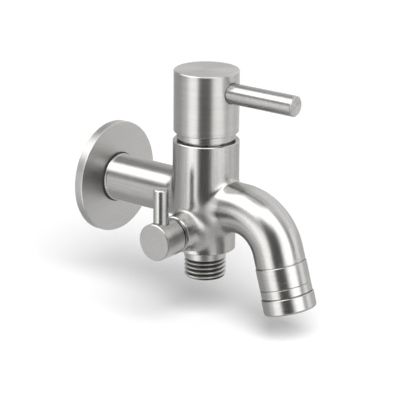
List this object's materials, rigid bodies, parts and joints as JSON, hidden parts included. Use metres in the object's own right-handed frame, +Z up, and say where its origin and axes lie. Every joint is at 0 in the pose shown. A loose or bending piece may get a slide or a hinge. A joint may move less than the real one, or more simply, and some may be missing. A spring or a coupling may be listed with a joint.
{
  "type": "bib tap",
  "caption": "Wall-mounted bib tap in brushed stainless steel with a curved aerated spout, a lever handle on top and a side knob for a threaded hose outlet underneath.",
  "frame": {"origin": "on the axis of the inlet thread, where the wall flange meets the wall", "axes": "+Y along the inlet thread into the wall, -Y out of the wall towards the spout, +Z up along the barrel and the main spindle, -X towards the side knob"},
  "size_m": [0.0692, 0.142, 0.116],
  "materials": {
    "satin_steel": "fine circular and lengthwise brushing",
    "turned_steel": "finely turned, brighter",
    "brass": "machined",
    "ceramic": "lapped alumina",
    "black_rubber": "moulded",
    "spring_steel": "blackened",
    "white_plastic": "moulded acetal",
    "gauze_steel": "etched sheet"
  },
  "bodies": {
    "tap": {"tap_body": "satin_steel", "wall_flange": "satin_steel", "bonnet_ring": "satin_steel", "spout_sleeve": "satin_steel", "aerator_collar": "satin_steel", "outlet_nipple": "turned_steel", "side_headwork": "turned_steel", "headwork": "brass", "fixed_disc": "ceramic", "side_fixed_disc": "ceramic", "flange_oring": "black_rubber", "flange_seal": "black_rubber", "nipple_washer": "black_rubber", "sleeve_oring": "black_rubber", "aerator_washer": "black_rubber", "headwork_oring": "black_rubber", "seat_seal": "black_rubber", "side_headwork_oring": "black_rubber", "side_seat_seal": "black_rubber", "aerator_insert": "white_plastic", "aerator_gauze": "gauze_steel"},
    "main_handle": {"spindle": "brass", "spindle_orings": "black_rubber", "spindle_clip": "spring_steel", "thrust_washer": "white_plastic", "moving_disc": "ceramic", "handle_head": "satin_steel", "lever_rod": "turned_steel", "handle_screw": "spring_steel"},
    "side_handle": {"side_spindle": "brass", "side_spindle_oring": "black_rubber", "side_spindle_clip": "spring_steel", "side_thrust_washer": "white_plastic", "side_moving_disc": "ceramic", "side_knob": "satin_steel", "knob_stem": "turned_steel", "knob_screw": "spring_steel"}
  },
  "joints": [
    {"name": "main_valve_turn", "type": "hinge", "parent": "tap", "child": "main_handle", "pos_m": [0, -0.0615, 0], "axis": [0, 0, 1], "range_deg": [0, 90]},
    {"name": "side_valve_turn", "type": "hinge", "parent": "tap", "child": "side_handle", "pos_m": [0, -0.0615, -0.0129], "axis": [-1, 0, 0], "range_deg": [0, 90]}
  ]
}
